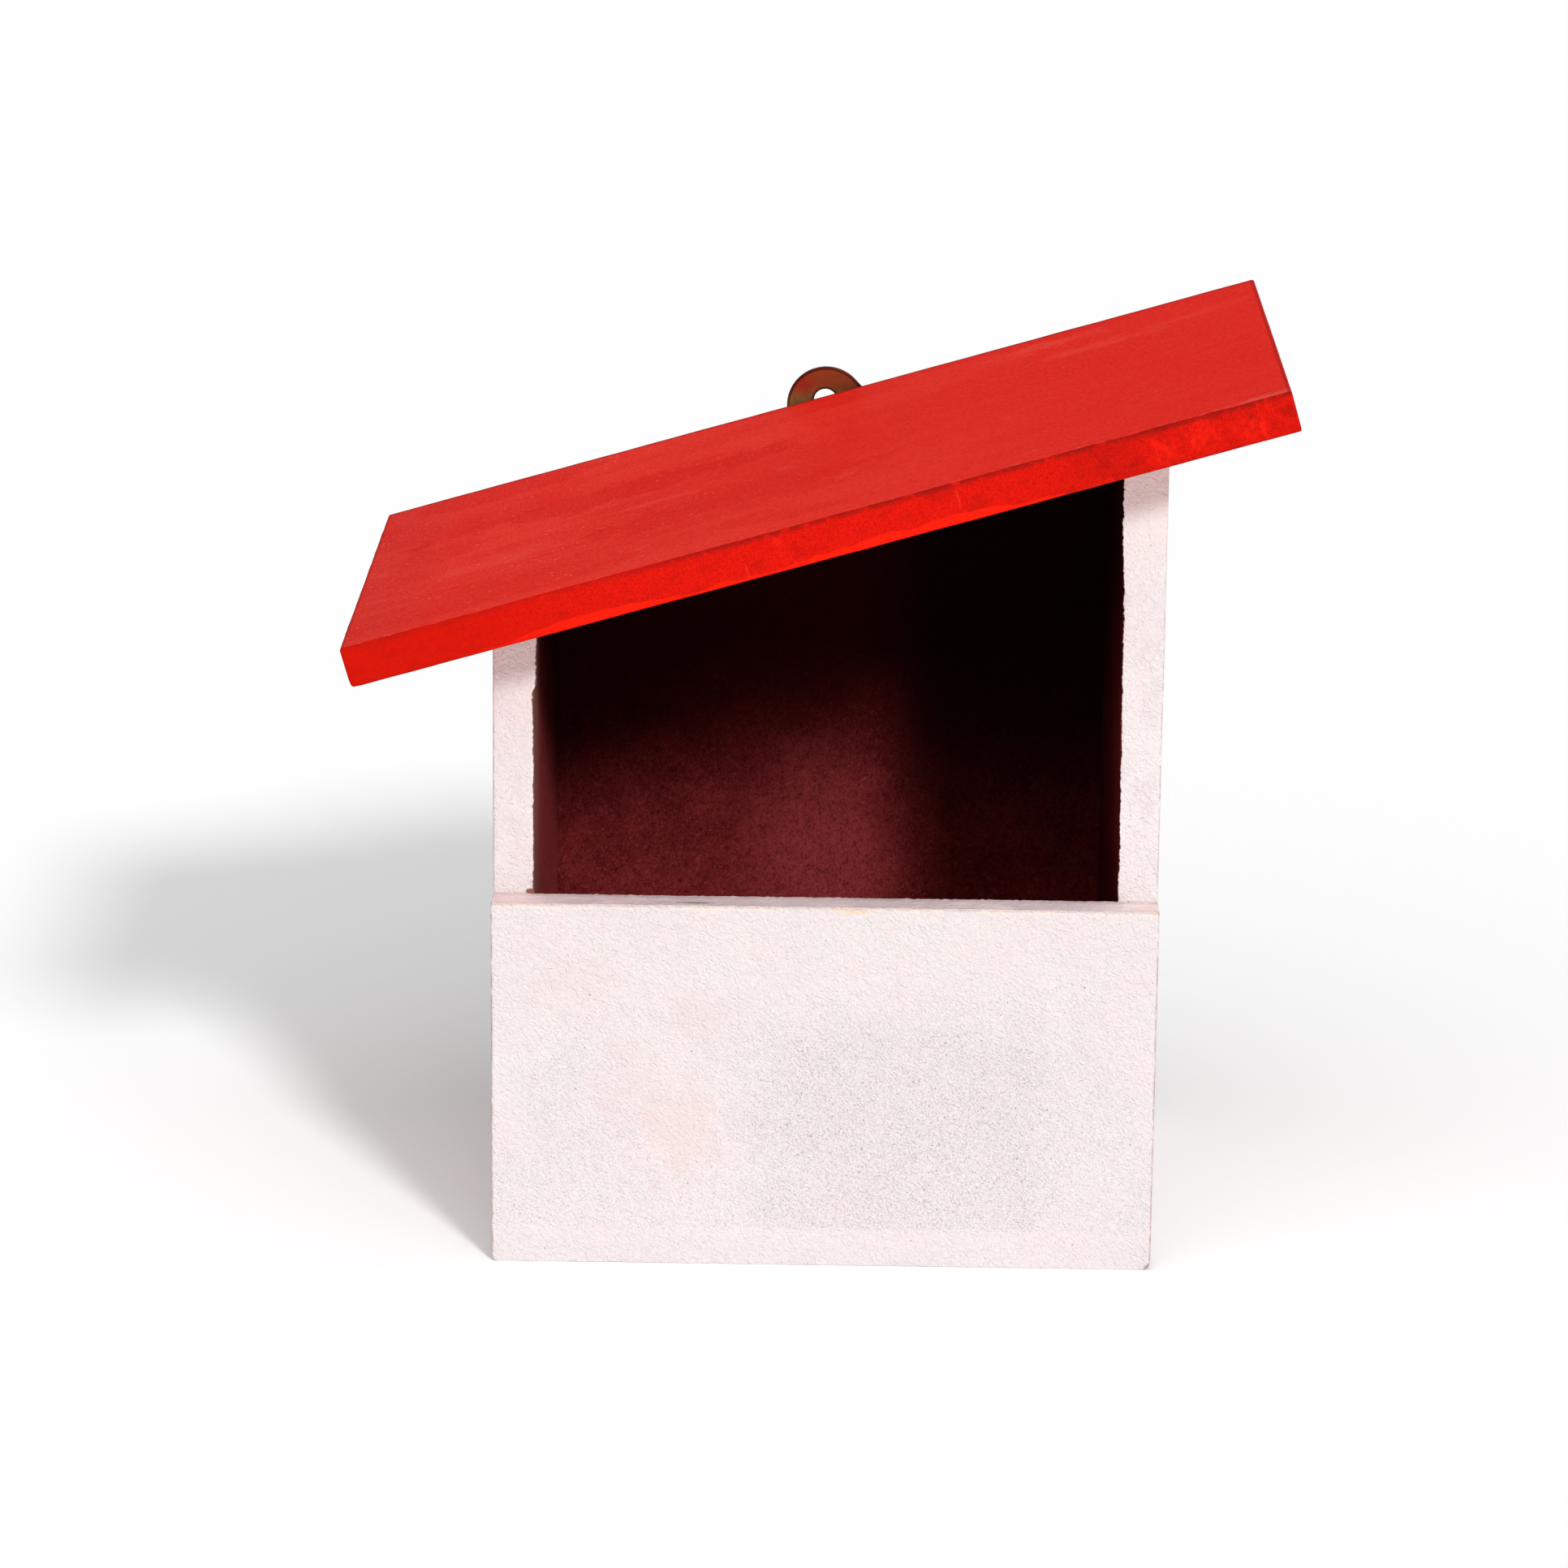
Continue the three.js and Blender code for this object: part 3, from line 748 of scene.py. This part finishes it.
def plate(name, outline, holes, thick, bevel, place):
    """A flat plate with holes and bevelled arrises, drawn in x and y and moved to its place."""
    curve = bpy.data.curves.new(name, "CURVE")
    curve.dimensions, curve.fill_mode = "2D", "BOTH"
    curve.extrude = (thick / 2 - bevel) * MM
    curve.bevel_depth, curve.bevel_resolution = bevel * MM, 2
    curve.offset = -bevel * MM
    for loop in (outline, *holes):
        spline = curve.splines.new("POLY")
        spline.points.add(len(loop) - 1)
        for point, (x, y) in zip(spline.points, loop):
            point.co = (x * MM, y * MM, 0, 1)
        spline.use_cyclic_u = True
    drawn = bpy.data.objects.new(name + "_outline", curve)
    bpy.context.scene.collection.objects.link(drawn)
    bpy.context.view_layer.update()
    mesh = bpy.data.meshes.new_from_object(drawn)
    bpy.data.objects.remove(drawn)
    bpy.data.curves.remove(curve)
    mesh.name = name
    mesh.transform(place)
    weld(mesh)
    obj = bpy.data.objects.new(name, mesh)
    bpy.context.scene.collection.objects.link(obj)
    return obj


def circle(x, y, radius, start=0, end=360, steps=48):
    """Points round a circle from start to end degrees. A full one doesn't repeat its first."""
    count = steps + (end - start < 360)
    turns = [math.radians(start + (end - start) * i / steps) for i in range(count)]
    return [(x + radius * math.cos(t), y + radius * math.sin(t)) for t in turns]


def turned(name, profile, steps=40):
    """A body turned about z from pairs of radius and height. The first and last are on the axis."""
    body = bmesh.new()
    rings = []
    for radius, height in profile:
        count = steps if radius else 1
        turns = [2 * math.pi * i / count for i in range(count)]
        spots = [Vector((radius * math.cos(t), radius * math.sin(t), height)) * MM for t in turns]
        rings.append([body.verts.new(spot) for spot in spots])
    for a, b in zip(rings, rings[1:]):
        for i in range(steps):
            j = (i + 1) % steps
            corners = [a[i % len(a)], a[j % len(a)], b[j % len(b)], b[i % len(b)]]
            body.faces.new(list(dict.fromkeys(corners)))
    bmesh.ops.recalc_face_normals(body, faces=body.faces)
    mesh = bpy.data.meshes.new(name)
    body.to_mesh(mesh)
    body.free()
    obj = bpy.data.objects.new(name, mesh)
    bpy.context.scene.collection.objects.link(obj)
    return obj


def cut_boxes(obj, boxes):
    """Cuts boxes, each given by its size and middle in millimetres, out of a body."""
    cutters = []
    for size, middle in boxes:
        body = bmesh.new()
        bmesh.ops.create_cube(body, size=MM, matrix=Matrix.Diagonal((*size, 1)))
        mesh = bpy.data.meshes.new("cutter")
        body.to_mesh(mesh)
        body.free()
        mesh.transform(Matrix.Translation(Vector(middle) * MM))
        cutter = bpy.data.objects.new("cutter", mesh)
        bpy.context.scene.collection.objects.link(cutter)
        modifier = obj.modifiers.new("cut", "BOOLEAN")
        modifier.operation, modifier.solver, modifier.object = "DIFFERENCE", "EXACT", cutter
        cutters.append(cutter)
    bpy.context.view_layer.update()
    settled = obj.evaluated_get(bpy.context.evaluated_depsgraph_get())
    mesh = bpy.data.meshes.new_from_object(settled)
    weld(mesh)
    obj.modifiers.clear()
    obj.data = mesh
    for cutter in cutters:
        bpy.data.objects.remove(cutter)


def make_screw(node, place, finish):
    """A countersunk screw with its head on the strap, a cross recess and its thread as rings."""
    top, rim, under = SCREW_HEAD
    root, crest, pitch = THREAD
    profile = [top, (rim[0] * 0.6, top[1] * 0.75), (rim[0] * 0.93, 0.0), rim, under]
    height = under[1]
    while height - pitch > 2 * pitch - SCREW_LENGTH:
        for radius, share in ((root, 0.3), (crest, 0.6), (root, 0.9)):
            profile.append((radius, height - pitch * share))
        height -= pitch
    profile.append((0.0, -SCREW_LENGTH))
    obj = turned(node + "_turned", profile)
    length, width, depth = CROSS
    middle = (0, 0, top[1] - depth / 2)
    cut_boxes(obj, [((length, width, depth), middle), ((width, length, depth), middle)])
    obj.data.shade_smooth()
    obj.data.set_sharp_from_angle(angle=math.radians(30))
    obj.data.transform(Matrix.Translation(place * MM) @ Matrix.Rotation(-math.pi / 2, 4, "X"))
    return finish_piece(obj, node, finish)


def make_front_panel():
    obj = board("front_board", FRONT_LOW, FRONT_HIGH, step=(1.0, 3.0, 1.6), radius=0.4, seed=3.1,
                nicks=0.3, shape=front_shape)
    return finish_piece(obj, "front_panel", front_finish())


def make_side_panel(name, node, low, high, side):
    height = wall_top((low.x + high.x) / 2)
    top = Vector((high.x, high.y, height))
    obj = board(name, low, top, step=(1.2, 3.0, 1.0), radius=0.6, seed=15.1 + side * 2.8,
                shape=side_shape(side, height))
    return finish_piece(obj, node, side_finish(name + "_paint", side))


def make_back_panel():
    height = wall_top(0)
    top = Vector((BACK_HIGH.x, BACK_HIGH.y, height))
    obj = board("back_board", BACK_LOW, top, step=(2.5, 3, 2.5), radius=0.6, seed=9.4,
                shape=top_to_slope(height))
    return finish_piece(obj, "back_panel", back_finish())


def make_floor_panel():
    """The bottom board, with its corners cut off so that water can run out."""
    x, y = FLOOR_HIGH.x, FLOOR_HIGH.y
    a, b = x - CORNER_CUT, y - CORNER_CUT
    outline = [(x, -b), (x, b), (a, y), (-a, y), (-x, b), (-x, -b), (-a, -y), (a, -y)]
    thick = FLOOR_HIGH.z - FLOOR_LOW.z
    middle = Matrix.Translation((0, 0, (FLOOR_LOW.z + thick / 2) * MM))
    obj = plate("floor_board", outline, [], thick, 0.5, middle)
    return finish_piece(obj, "floor_panel", floor_finish())


def make_roof_panel():
    """Built in its own frame, with x up the slope from the low end and z through the board."""
    low = Vector((0, ROOF_LOW.y, 0))
    high = Vector((ROOF_RUN, ROOF_HIGH.y, BOARD))
    obj = board("roof_board", low, high, step=(2, 2, 1.5), radius=0.8, seed=7.7, nicks=0.6,
                shape=roof_shape)
    obj.matrix_world = Matrix.Translation(ROOF_CORNER * MM) @ Matrix.Rotation(-ROOF_SLOPE, 4, "Y")
    return finish_piece(obj, "roof_panel", roof_finish())


def make_strap(finish):
    """The brass hanger: a round eye with a hole, a straight tail and two screw holes."""
    half = (STRAP_HIGH.x - STRAP_LOW.x) / 2
    middle = (STRAP_HIGH.x + STRAP_LOW.x) / 2
    outline = [(EYE.x + x, EYE.z + z) for x, z in SHOULDER]
    outline += circle(EYE.x, EYE.z, EYE_RADIUS, 47, 180, 36)
    outline += circle(middle, STRAP_LOW.z + half, half, 180, 360, 36)
    holes = [circle(HOLE.x, HOLE.z, HOLE_RADIUS)]
    holes += [circle(middle, screw.z, SCREW_HEAD[1][0] + 0.1) for screw in SCREWS.values()]
    thick = STRAP_HIGH.y - STRAP_LOW.y
    upright = Matrix.Rotation(math.pi / 2, 4, "X")
    upright = Matrix.Translation((0, (STRAP_LOW.y + thick / 2) * MM, 0)) @ upright
    obj = plate("strap_plate", outline, holes, thick, 0.3, upright)
    return finish_piece(obj, "hanging_strap", finish)


make_front_panel()
make_side_panel("left_side_board", "left_side_panel", LEFT_LOW, LEFT_HIGH, -1)
make_side_panel("right_side_board", "right_side_panel", RIGHT_LOW, RIGHT_HIGH, 1)
make_back_panel()
make_floor_panel()
make_roof_panel()

PIN_FINISH = steel_finish()
BRASS_FINISH = brass_finish()
make_strap(BRASS_FINISH)
for node, place in SCREWS.items():
    make_screw(node, place, BRASS_FINISH)
for name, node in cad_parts.items():
    if "_pin_" in name:
        node.data.materials.clear()
        node.data.materials.append(PIN_FINISH)


# ------------------------------------------------------------------ stage, light and camera

def sun(name, azimuth, elevation, spread, strength):
    """A far, broad light. Azimuth 0 is straight in front, positive to the right, all in degrees."""
    a, e = math.radians(azimuth), math.radians(elevation)
    direction = Vector((math.sin(a) * math.cos(e), -math.cos(a) * math.cos(e), math.sin(e)))
    data = bpy.data.lights.new(name, "SUN")
    data.energy = strength
    data.angle = math.radians(spread)
    light = bpy.data.objects.new(name, data)
    light.location = direction * SUN_AWAY
    light.rotation_euler = direction.to_track_quat("Z", "Y").to_euler()
    bpy.context.scene.collection.objects.link(light)


def make_stage():
    h = STUDIO_HALF_WIDTH
    mesh = bpy.data.meshes.new("floor")
    mesh.from_pydata([(-h, -h, 0), (h, -h, 0), (h, h, 0), (-h, h, 0)], [], [(0, 1, 2, 3)])
    floor = bpy.data.objects.new("studio_floor", mesh)
    s = Shader("studio_floor")
    mesh.materials.append(s.out((0.96, 0.96, 0.96), 0.95, Specular_IOR_Level=0.0))
    bpy.context.scene.collection.objects.link(floor)


def make_world():
    """A pale studio: white at the horizon, bright all round at eye level, dimmer overhead."""
    world = bpy.data.worlds.new("studio")
    bpy.context.scene.world = world
    world.use_nodes = True
    tree = world.node_tree
    place = tree.nodes.new("ShaderNodeTexCoord")
    split = tree.nodes.new("ShaderNodeSeparateXYZ")
    tree.links.new(place.outputs["Generated"], split.inputs[0])
    total = tree.nodes.new("ShaderNodeMath")
    for socket, ends in zip(total.inputs, STUDIO_FALLS):
        fall = tree.nodes.new("ShaderNodeMapRange")
        fall.interpolation_type = "SMOOTHSTEP"
        tree.links.new(split.outputs["Z"], fall.inputs["Value"])
        for name, value in zip(("From Min", "From Max", "To Min", "To Max"), ends):
            fall.inputs[name].default_value = value
        tree.links.new(fall.outputs["Result"], socket)
    tree.links.new(total.outputs[0], tree.nodes["Background"].inputs["Color"])


def make_camera():
    pitch, yaw, roll = map(math.radians, (CAMERA_PITCH, CAMERA_YAW, CAMERA_ROLL))
    data = bpy.data.cameras.new("camera")
    data.sensor_width = CAMERA_SENSOR
    data.lens = CAMERA_LENS
    data.clip_end = CAMERA_REACH
    camera = bpy.data.objects.new("camera", data)
    look = (Matrix.Rotation(yaw, 4, "Z") @ Matrix.Rotation(math.pi / 2 - pitch, 4, "X")
            @ Matrix.Rotation(roll, 4, "Z"))
    camera.matrix_world = Matrix.Translation(CAMERA_PLACE) @ look
    bpy.context.scene.collection.objects.link(camera)
    bpy.context.scene.camera = camera


make_stage()
make_world()
make_camera()
sun("key", *KEY_SUN)
sun("fill", *FILL_SUN)
bpy.context.scene.view_settings.view_transform = "Standard"
